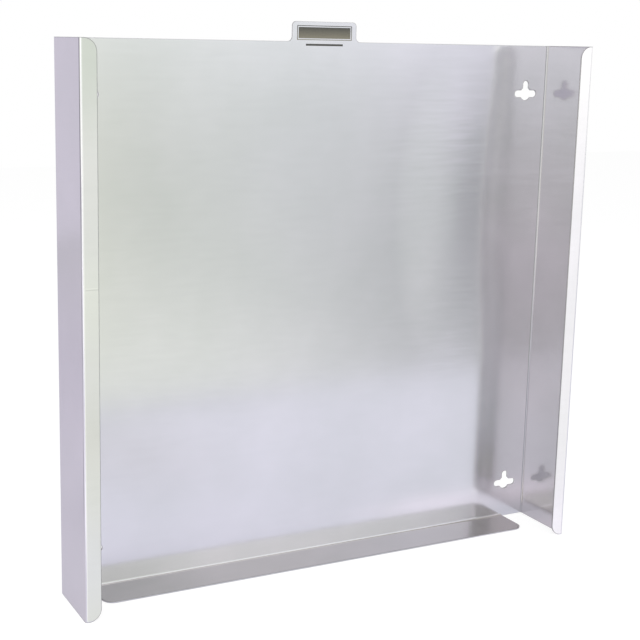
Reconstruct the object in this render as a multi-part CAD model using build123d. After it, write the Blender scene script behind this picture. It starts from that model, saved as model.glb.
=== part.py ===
from build123d import *
import os

# A wall rack that holds boxes of disposable gloves, folded from one stainless steel sheet.
# Millimetres. +Z is up, -Y faces the user and +X is to the right as the user sees it.
# The origin is on the wall plane, in the middle of the four keyholes.

# Folded sheet
sheet = 1.0
bend_inside_radius = 1.2
width = 400.0
height = 385.0
depth = 55.0

# Front lips, which keep the boxes in
lip_width = 11.2
lip_corner_radius = 8.8
straight_by_corner = 0.2

# Shelf, bent forward from the back panel's lower edge, with a gap at each end
shelf_end_gap = 21.75
shelf_depth = 32.5
shelf_corner_radius = 8.5

# Tab on the top edge
tab_width = 52.0
tab_height = 14.0
tab_corner_radius = 3.0
tab_root_radius = 3.5

# Keyholes: a round head hole with a slot to each side and one above
keyhole_side_inset = 20.0
upper_row_drop = 37.0
lower_row_height = 29.0
head_hole_diameter = 10.0
slot_width = 5.2
side_slots_length = 20.5
upper_slot_reach = 10.0
keyhole_blend_radius = 0.6

# Ink on the front of the tab: a filled field in a line border, and a rule below them
ink_thickness = 0.1
print_side_margin = 3.8
print_top_margin = 2.8
print_bottom_margin = 1.0
border_line = 0.5
field_gap = 0.7
rule_length = 30.0
rule_line = 1.4
rule_drop = 1.6

# Worked out from the sizes above
bend_outside_radius = bend_inside_radius + sheet
shelf_length = width - 2 * shelf_end_gap
keyhole_columns_apart = width - 2 * keyhole_side_inset
keyhole_rows_apart = height - upper_row_drop - lower_row_height
bottom = -keyhole_rows_apart / 2 - lower_row_height
top = bottom + height
lip_edge = width / 2 - lip_width
lip_flat = lip_width - bend_outside_radius


def folded_strip(outside_points):
    """Section of the sheet folded along a line of points on its outside, on the line's left."""
    outside = FilletPolyline(*outside_points, radius=bend_outside_radius)
    return make_face(offset(outside, sheet, side=Side.LEFT, closed=True))


def walls():
    """Back panel, two sides and two front lips: one section along the whole height."""
    half = width / 2
    section = folded_strip(
        [
            (lip_edge, -depth),
            (half, -depth),
            (half, 0),
            (-half, 0),
            (-half, -depth),
            (-lip_edge, -depth),
        ]
    )
    return Pos(0, 0, bottom) * extrude(section, height)


def round_lip_corners(body):
    """Each lip's free edge runs into the top and bottom edges in an arc."""
    radius = min(lip_corner_radius, lip_flat - straight_by_corner)
    corners = body.edges().filter_by(Axis.Y).filter_by(
        lambda edge: abs(abs(edge.center().X) - lip_edge) < sheet / 10
    )
    return fillet(corners, radius)


def shelf():
    """Narrower strip that leaves the back panel in a bend and runs forward, level."""
    overlap = 2 * bend_outside_radius
    section = Plane.YZ * folded_strip(
        [
            (-shelf_depth, bottom),
            (0, bottom),
            (0, bottom + bend_outside_radius + overlap),
        ]
    )
    body = Pos(-shelf_length / 2, 0, 0) * extrude(section, shelf_length, dir=(1, 0, 0))
    front_corners = body.edges().filter_by(Axis.Z).group_by(Axis.Y)[0]
    return fillet(front_corners, shelf_corner_radius)


def room_for_shelf():
    """Strip of the back panel's lower edge that the shelf's bend takes the place of."""
    return Pos(0, -sheet / 2, bottom) * Box(
        shelf_length,
        2 * sheet,
        bend_outside_radius,
        align=(Align.CENTER, Align.CENTER, Align.MIN),
    )


def tab():
    """Plate that stands on the middle of the top edge, in the back panel's plane."""
    return Pos(0, 0, top - sheet) * Box(
        tab_width,
        sheet,
        tab_height + sheet,
        align=(Align.CENTER, Align.MAX, Align.MIN),
    )


def round_tab(body):
    """The tab's top corners are round, and its sides run into the top edge in arcs."""
    sides = body.edges().filter_by(Axis.Y).filter_by(
        lambda edge: abs(abs(edge.center().X) - tab_width / 2) < sheet / 10
    )
    upper = sides.filter_by(lambda edge: edge.center().Z > top + tab_height / 2)
    body = fillet(upper, tab_corner_radius)
    roots = body.edges().filter_by(Axis.Y).filter_by(
        lambda edge: abs(abs(edge.center().X) - tab_width / 2) < sheet / 10
        and abs(edge.center().Z - top) < sheet / 10
    )
    return fillet(roots, tab_root_radius)


def keyhole():
    """One keyhole's outline as a cutter, centred on its head hole."""
    slot_end = slot_width / 2
    outline = Circle(head_hole_diameter / 2)
    outline += SlotOverall(side_slots_length, slot_width)
    outline += Pos(0, (upper_slot_reach - slot_end) / 2) * SlotOverall(
        upper_slot_reach + slot_end, slot_width, rotation=90
    )
    head_radius = head_hole_diameter / 2
    joins = outline.vertices().filter_by(
        lambda v: abs((v.X**2 + v.Y**2) ** 0.5 - head_radius) < sheet / 10
    )
    outline = fillet(joins, keyhole_blend_radius)
    return extrude(Plane.XZ * outline, 2 * sheet, both=True)


def keyholes():
    """The four keyholes, at the corners of a rectangle round the origin."""
    cutters = []
    for x in (-keyhole_columns_apart / 2, keyhole_columns_apart / 2):
        for z in (-keyhole_rows_apart / 2, keyhole_rows_apart / 2):
            cutters.append(Pos(x, 0, z) * keyhole())
    return cutters


def folded_sheet():
    """The whole sheet in one piece."""
    body = round_lip_corners(walls())
    body = body - room_for_shelf() + shelf()
    body = round_tab(body + tab())
    return body - keyholes()


def ink(outline, z):
    """A flat printed shape on the back panel's front face, its middle at height z."""
    return Pos(0, -sheet, z) * extrude(Plane.XZ * outline, ink_thickness)


def tab_print():
    """Bordered field on the tab, and a rule below it on the back panel."""
    border_width = tab_width - 2 * print_side_margin
    border_height = tab_height - print_top_margin - print_bottom_margin
    middle = top + print_bottom_margin + border_height / 2
    border = Rectangle(border_width, border_height)
    border -= Rectangle(border_width - 2 * border_line, border_height - 2 * border_line)
    inset = 2 * (border_line + field_gap)
    field = Rectangle(border_width - inset, border_height - inset)
    rule = Rectangle(rule_length, rule_line)
    rule_middle = top - rule_drop - rule_line / 2
    return [ink(border, middle), ink(field, middle), ink(rule, rule_middle)]


os.makedirs("parts", exist_ok=True)
export_step(folded_sheet(), "parts/folded_sheet.step")
export_step(Compound(children=tab_print()), "parts/tab_print.step")
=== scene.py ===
import math

import bpy
from mathutils import Matrix, Vector


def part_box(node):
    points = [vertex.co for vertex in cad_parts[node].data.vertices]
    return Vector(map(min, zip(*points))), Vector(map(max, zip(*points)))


# A wall rack that holds boxes of disposable gloves, folded from one stainless steel sheet.
# Metres. +Z is up, -Y faces the user and +X is to the right as the user sees it.

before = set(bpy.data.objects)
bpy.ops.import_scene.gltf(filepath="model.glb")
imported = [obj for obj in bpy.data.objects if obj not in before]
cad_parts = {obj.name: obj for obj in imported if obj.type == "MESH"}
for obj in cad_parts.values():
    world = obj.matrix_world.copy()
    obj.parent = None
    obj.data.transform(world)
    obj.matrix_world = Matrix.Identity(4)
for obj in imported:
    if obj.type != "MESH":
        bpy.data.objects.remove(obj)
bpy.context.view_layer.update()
sheet_low, sheet_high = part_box("folded_sheet")

# Rack: the table is at its lower edge, and the tab stands on its top edge
tab_height = 0.014
floor_height = sheet_low.z
top_height = sheet_high.z - tab_height
lip_front = sheet_low.y

# Camera
camera_place = (-0.45198, -0.83187, 0.19571)
camera_turn = 26.6085
camera_tilt = -11.1686
camera_roll = 1.0621
camera_lens = 72.82
camera_shift = (0.07, -0.035)
camera_far_clip = 100


def make_camera():
    """Camera that looks along a turn from +Y towards +X and a tilt, both in degrees."""
    turn = math.radians(camera_turn)
    tilt = math.radians(camera_tilt)
    roll = math.radians(camera_roll)
    ahead = Vector(
        (
            math.sin(turn) * math.cos(tilt),
            math.cos(turn) * math.cos(tilt),
            math.sin(tilt),
        )
    )
    level = Vector((math.cos(turn), -math.sin(turn), 0))
    upright = level.cross(ahead)
    right = math.cos(roll) * level + math.sin(roll) * upright
    up = math.cos(roll) * upright - math.sin(roll) * level
    data = bpy.data.cameras.new("camera")
    data.lens = camera_lens
    data.shift_x, data.shift_y = camera_shift
    data.clip_end = camera_far_clip
    camera = bpy.data.objects.new("camera", data)
    bpy.context.scene.collection.objects.link(camera)
    axes = Matrix((right, up, -ahead)).transposed().to_4x4()
    camera.matrix_world = Matrix.Translation(camera_place) @ axes
    bpy.context.scene.camera = camera


class Nodes:
    """A node tree with short calls for adding and linking nodes."""

    def __init__(self, tree):
        self.tree = tree
        tree.nodes.clear()

    def add(self, kind, inputs=None, **settings):
        node = self.tree.nodes.new(kind)
        for name, value in settings.items():
            setattr(node, name, value)
        for name, value in (inputs or {}).items():
            self.put(node.inputs[name], value)
        return node

    def put(self, socket, value):
        """Links a socket to another node's output, or sets its number or colour."""
        if isinstance(value, bpy.types.NodeSocket):
            self.tree.links.new(value, socket)
        else:
            socket.default_value = value

    def math(self, operation, *values, clamp=False):
        node = self.add("ShaderNodeMath", operation=operation, use_clamp=clamp)
        for socket, value in zip(node.inputs, values):
            self.put(socket, value)
        return node.outputs[0]

    def product(self, first, *others):
        total = first
        for value in others:
            total = self.math("MULTIPLY", total, value)
        return total

    def vector(self, operation, inputs):
        """Sum, product or scaled copy of colours or vectors."""
        return self.add("ShaderNodeVectorMath", inputs, operation=operation).outputs[0]

    def mix(self, factor, first, second):
        """Colour between first and second."""
        node = self.add("ShaderNodeMix", data_type="RGBA")
        colours = [s for s in node.inputs if s.type == "RGBA"]
        self.put(node.inputs[0], factor)
        self.put(colours[0], first)
        self.put(colours[1], second)
        return next(s for s in node.outputs if s.type == "RGBA")

    def fit(self, value, low, high, to_low=0.0, to_high=1.0, smooth=False):
        """Value carried from one range to another, and held at its ends."""
        node = self.add("ShaderNodeMapRange")
        node.interpolation_type = "SMOOTHSTEP" if smooth else "LINEAR"
        for socket, number in zip(node.inputs, (value, low, high, to_low, to_high)):
            self.put(socket, number)
        return node.outputs[0]

    def noise(self, vector, scale, detail=2.0, roughness=0.5):
        node = self.add(
            "ShaderNodeTexNoise",
            {"Vector": vector, "Scale": scale, "Detail": detail, "Roughness": roughness},
        )
        return node.outputs[0]

    def finish(self, kind, shader):
        """Makes a shader the tree's result."""
        self.put(self.add(kind).inputs["Surface"], shader.outputs[0])


def material(name):
    made = bpy.data.materials.new(name)
    made.use_nodes = True
    return made, Nodes(made.node_tree)


def patch(nodes, where, middle, reach):
    """1 at a place, falling softly to 0 at its reach along each axis."""
    local = nodes.add(
        "ShaderNodeMapping",
        {"Vector": where, "Location": middle, "Scale": reach},
        vector_type="TEXTURE",
    )
    ball = nodes.add(
        "ShaderNodeTexGradient", {"Vector": local.outputs[0]}, gradient_type="SPHERICAL"
    )
    return nodes.fit(ball.outputs["Fac"], 0, 1, smooth=True)


def seen_directly_or_in_metal(nodes):
    """1 for what the camera, gloss or glass sees, 0 for what only lights the object."""
    path = nodes.add("ShaderNodeLightPath").outputs
    seen = nodes.math("MAXIMUM", path["Is Camera Ray"], path["Is Glossy Ray"])
    return nodes.math("MAXIMUM", seen, path["Is Transmission Ray"])


# World: white where it is seen, a soft grey where it lights
world_light = 0.60


def make_world():
    world = bpy.data.worlds.new("studio")
    world.use_nodes = True
    nodes = Nodes(world.node_tree)
    strength = nodes.fit(seen_directly_or_in_metal(nodes), 0, 1, world_light, 1)
    background = nodes.add(
        "ShaderNodeBackground", {"Color": (1, 1, 1, 1), "Strength": strength}
    )
    nodes.finish("ShaderNodeOutputWorld", background)
    bpy.context.scene.world = world


def rectangle(name, place, facing, size):
    """Flat rectangle whose front looks along facing, with its height as near to +Z as it goes."""
    mesh = bpy.data.meshes.new(name)
    x, y = size[0] / 2, size[1] / 2
    mesh.from_pydata([(-x, -y, 0), (x, -y, 0), (x, y, 0), (-x, y, 0)], [], [(0, 1, 2, 3)])
    made = bpy.data.objects.new(name, mesh)
    bpy.context.scene.collection.objects.link(made)
    turn = Vector(facing).to_track_quat("Z", "Y").to_matrix().to_4x4()
    made.matrix_world = Matrix.Translation(place) @ turn
    return made


def patched(nodes, colour, patches, place, facing):
    """Colour of the rectangle there, with soft patches of painted light and shade.

    A patch is its middle and its reach, each along the two axes that the rectangle lies
    on, and the colour that it adds.
    """
    axis = [abs(part) for part in facing].index(1)
    where = nodes.add("ShaderNodeNewGeometry").outputs["Position"]
    total = colour
    for middle, reach, added in patches:
        middle = (*middle[:axis], place[axis], *middle[axis:])
        reach = (*reach[:axis], 1, *reach[axis:])
        amount = patch(nodes, where, middle, reach)
        scaled = nodes.vector("SCALE", {0: added, "Scale": amount})
        total = nodes.vector("ADD", {0: total, 1: scaled})
    return total


# Table: the white background, which keeps a soft shadow of the rack. What shows is its glow
# and its lit paint. The steel mirrors a greyer table than the camera sees, with patches of
# painted shade and painted light
table_front = -0.437
table_back = 3.0
table_width = 8.0
table_place = (0, (table_back + table_front) / 2, floor_height)
table_facing = (0, 0, 1)
table_glow_seen = (0.80, 0.80, 0.80)
table_paint_seen = (0.30, 0.30, 0.30)
table_glow_mirrored = (0.28, 0.28, 0.31)
table_paint_mirrored = (0.50, 0.50, 0.56)
table_painted_shade_and_light = [
    ((-0.50, 0.50), (0.80, 1.10), (0.02, -0.01, 0.04)),
    ((0.00, 2.00), (3.00, 1.50), (0.03, 0.01, 0.03)),
    ((0.12, 0.09), (0.18, 0.12), (-0.20, -0.20, -0.22)),
    ((0.07, table_front), (0.23, 0.06), (-0.26, -0.26, -0.24)),
    ((-0.06, -0.30), (0.15, 0.20), (-0.05, -0.06, -0.08)),
    ((0.15, -0.045), (0.12, 0.04), (0.17, 0.13, 0.15)),
    ((-0.45, 0.11), (0.24, 0.18), (-0.36, -0.36, -0.38)),
    ((-1.04, 0.48), (0.78, 0.60), (-0.36, -0.36, -0.38)),
    ((-2.13, 1.19), (1.20, 0.90), (-0.36, -0.36, -0.38)),
    ((-0.45, -0.14), (0.22, 0.14), (0.50, 0.50, 0.50)),
    ((-1.10, -0.32), (0.65, 0.24), (0.50, 0.50, 0.50)),
]


def make_table():
    size = (table_width, table_back - table_front)
    table = rectangle("table", table_place, table_facing, size)
    made, nodes = material("table_white")
    path = nodes.add("ShaderNodeLightPath").outputs
    camera = path["Is Camera Ray"]
    mirrored = nodes.math("MAXIMUM", path["Is Glossy Ray"], path["Is Transmission Ray"])
    # The glow that the steel mirrors carries the patches of painted shade and painted light
    glow_mirrored = patched(
        nodes, table_glow_mirrored, table_painted_shade_and_light, table_place, table_facing
    )
    glow = nodes.mix(mirrored, (*table_glow_seen, 1), glow_mirrored)
    seen = nodes.math("MAXIMUM", camera, mirrored)
    emission = nodes.add("ShaderNodeEmission", {"Color": glow, "Strength": seen})
    colour = nodes.mix(camera, (*table_paint_mirrored, 1), (*table_paint_seen, 1))
    paint = nodes.add("ShaderNodeBsdfDiffuse", {"Color": colour})
    both = nodes.add("ShaderNodeAddShader")
    nodes.put(both.inputs[0], emission.outputs[0])
    nodes.put(both.inputs[1], paint.outputs[0])
    nodes.finish("ShaderNodeOutputMaterial", both)
    table.data.materials.append(made)


# Glowing walls of the room, and a narrow glowing card close before each lip. Only the steel sees
# them: their colours and patches are painted reflections of light and shade
card_gap = 0.0015
card_height = top_height - floor_height
card_y = lip_front - card_gap
card_z = (top_height + floor_height) / 2
right_card_inset = 0.0055
left_card_inset = 0.0059
walls = {
    "wall_front": {
        "place": (0, -2.6, 0),
        "facing": (0, 1, 0),
        "size": (9.0, 5.0),
        "colour": (0.60, 0.61, 0.63),
        "patches": [
            ((0.20, 0.60), (6.00, 0.72), (0.34, 0.35, 0.36)),
            ((1.15, 0.05), (1.00, 0.75), (0.09, 0.10, 0.10)),
            ((1.95, 0.30), (0.80, 0.50), (0.14, 0.11, 0.19)),
            ((0.70, -0.10), (0.75, 1.20), (0.00, 0.01, -0.05)),
            ((0.70, -0.24), (0.25, 0.45), (-0.06, -0.06, -0.05)),
            ((0.95, -0.85), (0.85, 0.75), (0.21, 0.22, 0.18)),
            ((1.80, -1.10), (0.60, 0.45), (0.12, 0.11, 0.13)),
            ((2.30, -0.40), (0.90, 1.10), (-0.21, -0.22, -0.21)),
            ((0.45, -0.35), (0.42, 1.00), (0.29, 0.29, 0.19)),
            ((-0.40, -0.30), (0.95, 1.80), (0.41, 0.41, 0.38)),
            ((-3.40, 0.00), (1.20, 2.60), (0.43, 0.43, 0.43)),
            ((-1.85, 0.20), (0.90, 0.50), (0.40, 0.40, 0.50)),
            ((-1.85, -0.62), (1.00, 0.60), (-0.04, -0.07, -0.03)),
            ((0.55, 0.70), (0.35, 0.40), (-0.35, -0.35, -0.38)),
            ((2.05, 0.72), (0.18, 0.36), (-0.90, -0.90, -0.92)),
            ((0.45, 1.40), (0.55, 0.55), (-0.45, -0.44, -0.46)),
            ((1.25, 1.45), (0.90, 0.50), (0.06, 0.05, 0.07)),
            ((1.92, 1.40), (0.50, 0.50), (0.26, 0.23, 0.34)),
            ((-1.90, 1.40), (1.30, 0.60), (0.16, 0.13, 0.19)),
        ],
    },
    "wall_back": {
        "place": (-0.8, 1.6, 0.3),
        "facing": (0, -1, 0),
        "size": (4.8, 3.0),
        "colour": (0.76, 0.74, 0.86),
        "patches": [
            ((-1.60, 0.00), (0.90, 2.00), (-0.45, -0.43, -0.48)),
            ((-2.60, 0.00), (1.60, 2.50), (-0.50, -0.48, -0.54)),
        ],
    },
    "wall_left": {
        "place": (-3.2, -0.5, 0),
        "facing": (1, 0, 0),
        "size": (4.2, 5.0),
        "colour": (1.13, 1.14, 1.12),
        "patches": [
            ((1.40, 0.00), (1.90, 2.50), (-0.55, -0.55, -0.52)),
            ((-1.30, 0.00), (1.20, 3.50), (0.30, 0.30, 0.30)),
        ],
    },
    # Cards glowing close before the lips paint light into the lips' reflections
    "card_right_lip": {
        "place": (sheet_high.x - right_card_inset, card_y, card_z),
        "facing": (0, 1, 0),
        "size": (0.0104, card_height),
        "colour": (1.01, 0.995, 1.02),
        "patches": [
            ((0.195, 0.200), (0.10, 0.13), (0.16, 0.16, 0.13)),
            ((0.195, -0.170), (0.10, 0.06), (0.05, 0.03, 0.08)),
        ],
    },
    "card_left_lip": {
        "place": (sheet_low.x + left_card_inset, card_y, card_z),
        "facing": (0, 1, 0),
        "size": (0.0128, card_height),
        "colour": (0.80, 0.815, 0.765),
        "patches": [
            ((-0.194, 0.185), (0.10, 0.07), (-0.10, -0.07, -0.10)),
            ((-0.194, 0.030), (0.10, 0.05), (0.02, 0.03, 0.00)),
            ((-0.194, -0.060), (0.10, 0.04), (-0.05, -0.05, -0.06)),
            ((-0.194, -0.150), (0.10, 0.06), (0.00, 0.00, 0.05)),
            ((-0.2005, 0.000), (0.0025, 0.60), (0.30, 0.30, 0.30)),
        ],
    },
}


def make_wall(name, place, facing, size, colour, patches):
    """Glowing wall or card that only the steel sees."""
    wall = rectangle(name, place, facing, size)
    wall.visible_camera = False
    wall.visible_diffuse = False
    wall.visible_transmission = False
    wall.visible_shadow = False
    made, nodes = material(name)
    glow = patched(nodes, colour, patches, place, facing)
    nodes.finish("ShaderNodeOutputMaterial", nodes.add("ShaderNodeEmission", {"Color": glow}))
    wall.data.materials.append(made)


# Lamps: place, the point that it faces, width and height, and brightness
lamps = {
    "light_left": ((-1.45, -0.6, 0.3), (0, 0, 0), (1.8, 1.4), 1.5),
    "light_above": ((0.1, -0.9, 1.5), (0, 0, 0), (1.8, 1.4), 1.6),
    "light_right": ((1.6, -1.5, 0.0), (0.19, -0.05, 0), (0.4, 1.8), 1.3),
}


def make_lamp(name, place, target, size, brightness):
    """Soft area light that the steel doesn't mirror."""
    data = bpy.data.lights.new(name, "AREA")
    data.shape = "RECTANGLE"
    data.size, data.size_y = size
    data.energy = brightness * math.pi * size[0] * size[1]
    lamp = bpy.data.objects.new(name, data)
    lamp.visible_glossy = False
    bpy.context.scene.collection.objects.link(lamp)
    ahead = Vector(target) - Vector(place)
    turn = ahead.to_track_quat("-Z", "Y").to_matrix().to_4x4()
    lamp.matrix_world = Matrix.Translation(place) @ turn


# Steel's colour: two cloudy greys, a dark colour at cut edges that partly paints shade there, a
# darker tint of painted shade away from the panel, and tones that multiply them, most of them
# painted light and shade
steel_clouds = ((0.825, 0.835, 0.830), (0.935, 0.925, 0.942))
steel_colour_at_shaded_edges = (0.15, 0.15, 0.145)
steel_shade_away_from_panel = (0.82, 0.79, 0.78)
streak_tones = (0.98, 1.02)
# The lips' rear faces: painted shade near their foot and painted light above it
lip_rear_painted_tones = (0.90, 1.08)
lip_rear_heights = (-0.15, -0.12)

# Folds beside the panel: the tones of painted shade, and of a painted highlight in the shelf's
# fold, change where the surface has turned by these shares
fold_depths = (-0.0040, -0.0030)
fold_starts = (0.01, 0.05)
fold_ends = (0.9995, 0.99)
side_fold_turns = (0.45, 0.60)
side_fold_painted_shade = (0.60, 0.75)
shelf_fold_turns = (0.80, 0.88)
shelf_fold_highlight_and_shade = (1.05, 0.50)

# Hairline scratch across the left lip: painted shade below its height and a painted highlight
# above
scratch_height = 0.0387
scratch_step = (-0.0002, 0.0002)
scratch_fade = (0.0010, 0.0007)
scratch_painted_tones = (0.93, 1.04)

# Faces are told apart by the parts of their true normals, and the lips also by their depth
face_limit = 0.7
lip_rear_limit = 0.9
lip_front_limit = -0.999
panel_turns = (0.30, 0.95)
lip_reach = 0.005

# Wear and painted shade: cut edges are rougher, and their colour is darkened as painted shade. It
# grows as the rounded normal becomes less like the true one, and less in the folds
edge_reach = 0.0009
edge_samples = 8
edge_likeness = (0.99, 0.88)
cut_edge_rub_and_shade = 0.95
fold_rub_and_shade = 0.30

# Roughness
rough_base = 0.115
rough_by_grain = 0.04
rough_by_clouds = 0.04
rough_by_wear = 0.15

# Noises: features in a metre, or along and across the grain
grain_scale = (60, 3000)
streak_scale = (40, 280)
ripple_scale = (16, 105)
cloud_scale = 9
cloud_range = (0.25, 0.75)
wave_scale = 7

# Relief: heights of the noises, a bow and ripples in the panel, and the shelf's springback
grain_height = 0.000002
streak_height = 0.000007
wave_height = 0.0006
ripple_height = 0.00018
ripple_elsewhere = 0.06
ripple_middle = (0.118, 0, 0.065)
ripple_reach = (0.12, 1, 0.15)
bow_height = 0.0014
bow_middle = (0.118, 0, 0.07)
bow_reach = (0.055, 1, 0.13)
shelf_slope = math.tan(math.radians(3))


def stretched_noise(nodes, along, across, sheet, scale, detail):
    """Noise that is longer along the grain than across it, and differs between sheets."""
    x = nodes.math("MULTIPLY", along, scale[0])
    y = nodes.math("MULTIPLY", across, scale[1])
    point = nodes.add("ShaderNodeCombineXYZ", {"X": x, "Y": y, "Z": sheet}).outputs[0]
    return nodes.noise(point, 1.0, detail)


def where_true(nodes, test, tone):
    """The tone where the test is 1, and no change where it is 0."""
    return nodes.fit(test, 0, 1, 1, tone)


def fold_painted_tone(nodes, turned, by_panel, turns, tones):
    """Painted light and shade in the folds beside the panel that turn towards one axis."""
    started = nodes.fit(turned, *fold_starts)
    unfinished = nodes.fit(turned, *fold_ends)
    fold = nodes.product(started, unfinished, by_panel)
    return where_true(nodes, fold, nodes.fit(turned, *turns, *tones))


def lip_rear_painted_light_and_shade(nodes, place, flat, by_lip):
    """Painted light and shade on the lips' rear faces, which changes near their foot."""
    rear = nodes.product(nodes.math("GREATER_THAN", flat["Y"], lip_rear_limit), by_lip)
    tone = nodes.fit(place["Z"], *lip_rear_heights, *lip_rear_painted_tones)
    return where_true(nodes, rear, tone)


def scratch_shade_and_highlight(nodes, place, flat, by_lip):
    """Painted shade and highlight of the scratch, on the left lip's front face alone."""
    front = nodes.math("LESS_THAN", flat["Y"], lip_front_limit)
    left = nodes.math("LESS_THAN", place["X"], 0)
    above = nodes.math("SUBTRACT", place["Z"], scratch_height)
    near = nodes.fit(nodes.math("ABSOLUTE", above), *scratch_fade)
    scratch = nodes.product(near, front, left, by_lip)
    return where_true(nodes, scratch, nodes.fit(above, *scratch_step, *scratch_painted_tones))


def rubbed_and_shaded_edges(nodes, rounded, normal):
    """1 at cut edges, where the rounded normal leaves the true one: wear, and painted shade."""
    alike = nodes.add(
        "ShaderNodeVectorMath", {0: rounded, 1: normal}, operation="DOT_PRODUCT"
    ).outputs["Value"]
    return nodes.fit(alike, *edge_likeness)


def bump(nodes, height, distance, normal):
    settings = {"Height": height, "Strength": 1.0, "Distance": distance, "Normal": normal}
    return nodes.add("ShaderNodeBump", settings).outputs[0]


def steel():
    """Satin stainless steel, rougher at its cut edges and painted darker there as shade, with
    painted light and shade in its folds, away from the panel, on the lips' rear faces and at a
    scratch.
    """
    made, nodes = material("steel_satin")
    where = nodes.add("ShaderNodeTexCoord").outputs["Object"]
    geometry = nodes.add("ShaderNodeNewGeometry").outputs
    place = nodes.add("ShaderNodeSeparateXYZ", {"Vector": where}).outputs
    flat = nodes.add("ShaderNodeSeparateXYZ", {"Vector": geometry["True Normal"]}).outputs
    turned = {axis: nodes.math("ABSOLUTE", flat[axis]) for axis in "XYZ"}
    on_side = nodes.math("GREATER_THAN", turned["X"], face_limit)
    on_shelf = nodes.math("GREATER_THAN", turned["Z"], face_limit)
    by_panel = nodes.fit(place["Y"], *fold_depths)
    by_lip = nodes.math("LESS_THAN", place["Y"], lip_front + lip_reach)

    along = nodes.fit(on_side, 0, 1, place["X"], place["Y"])
    across = nodes.fit(on_shelf, 0, 1, place["Z"], place["Y"])
    grain = stretched_noise(nodes, along, across, on_side, grain_scale, 2.0)
    streaks = stretched_noise(nodes, along, across, on_side, streak_scale, 3.0)
    ripples = stretched_noise(nodes, along, across, on_side, ripple_scale, 2.0)
    clouds = nodes.noise(where, cloud_scale, 4.0, 0.55)
    waves = nodes.noise(where, wave_scale, 1.0)

    rounded = nodes.add(
        "ShaderNodeBevel", {"Radius": edge_reach}, samples=edge_samples
    ).outputs[0]
    # Painted shade and wear at the cut edges, weaker beside the panel
    rub_and_shade_strength = nodes.fit(by_panel, 0, 1, cut_edge_rub_and_shade, fold_rub_and_shade)
    rubbed_and_shaded = nodes.product(rubbed_and_shaded_edges(nodes, rounded, geometry["Normal"]), rub_and_shade_strength)

    cloudy = nodes.fit(clouds, *cloud_range)
    colour = nodes.mix(cloudy, (*steel_clouds[0], 1), (*steel_clouds[1], 1))
    # Tones: random streaks, and painted light and shade in the folds, on the lips' rear faces and
    # at the scratch
    tone = nodes.product(
        nodes.fit(streaks, 0, 1, *streak_tones),
        fold_painted_tone(nodes, turned["X"], by_panel, side_fold_turns, side_fold_painted_shade),
        fold_painted_tone(nodes, turned["Z"], by_panel, shelf_fold_turns, shelf_fold_highlight_and_shade),
        lip_rear_painted_light_and_shade(nodes, place, flat, by_lip),
        scratch_shade_and_highlight(nodes, place, flat, by_lip),
    )
    colour = nodes.vector("SCALE", {0: colour, "Scale": tone})
    # Painted shade: faces turned away from the panel take a darker tint
    on_panel = nodes.fit(turned["Y"], *panel_turns)
    off_panel_shade_tint = nodes.mix(on_panel, (*steel_shade_away_from_panel, 1), (1, 1, 1, 1))
    colour = nodes.vector("MULTIPLY", {0: colour, 1: off_panel_shade_tint})
    # Cut edges take a dark colour: painted shade
    colour = nodes.mix(rubbed_and_shaded, colour, (*steel_colour_at_shaded_edges, 1))

    rough = nodes.math("MULTIPLY_ADD", grain, rough_by_grain, rough_base)
    rough = nodes.math("MULTIPLY_ADD", clouds, rough_by_clouds, rough)
    rough = nodes.math("MULTIPLY_ADD", rubbed_and_shaded, rough_by_wear, rough)

    rippled = patch(nodes, where, ripple_middle, ripple_reach)
    rippled = nodes.fit(rippled, 0, 1, ripple_elsewhere, 1)
    relief = [
        (waves, wave_height),
        (nodes.product(place["Y"], on_shelf, shelf_slope), 1.0),
        (patch(nodes, where, bow_middle, bow_reach), bow_height),
        (nodes.product(ripples, rippled), ripple_height),
        (streaks, streak_height),
        (grain, grain_height),
    ]
    normal = rounded
    for height, distance in relief:
        normal = bump(nodes, height, distance, normal)

    shader = nodes.add(
        "ShaderNodeBsdfPrincipled", {"Base Color": colour, "Roughness": rough, "Normal": normal}
    )
    shader.inputs["Metallic"].default_value = 1
    nodes.finish("ShaderNodeOutputMaterial", shader)
    return made


# Ink: the field darkens between two heights, and the rule below the tab is dark
ink_olive = (0.22, 0.205, 0.15)
ink_black = (0.07, 0.07, 0.06)
field_fade = (0.1995, 0.2065)
rule_fade = (0.1975, 0.1965)
speckle_scale = 900.0
speckle_share = 0.5
ink_roughness = 0.55


def ink():
    """Matt ink, speckled where it fades from olive to near black."""
    made, nodes = material("ink_olive")
    where = nodes.add("ShaderNodeTexCoord").outputs["Object"]
    height = nodes.add("ShaderNodeSeparateXYZ", {"Vector": where}).outputs["Z"]
    fade = nodes.fit(height, *field_fade)
    fade = nodes.math("MAXIMUM", fade, nodes.fit(height, *rule_fade))
    speckle = nodes.math("SUBTRACT", nodes.noise(where, speckle_scale, 3.0), 0.5)
    fade = nodes.math("MULTIPLY_ADD", speckle, speckle_share, fade, clamp=True)
    colour = nodes.mix(fade, (*ink_olive, 1), (*ink_black, 1))
    shader = nodes.add("ShaderNodeBsdfPrincipled", {"Base Color": colour})
    shader.inputs["Roughness"].default_value = ink_roughness
    nodes.finish("ShaderNodeOutputMaterial", shader)
    return made


def dress(node, made):
    """Gives a CAD node its material."""
    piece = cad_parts[node]
    for slot in range(len(piece.material_slots)):
        piece.material_slots[slot].material = made


make_camera()
make_world()
make_table()
for name, wall in walls.items():
    make_wall(name, **wall)
for name, lamp in lamps.items():
    make_lamp(name, *lamp)
dress("folded_sheet", steel())
dress("tab_print", ink())

bpy.context.scene.view_settings.view_transform = "Standard"
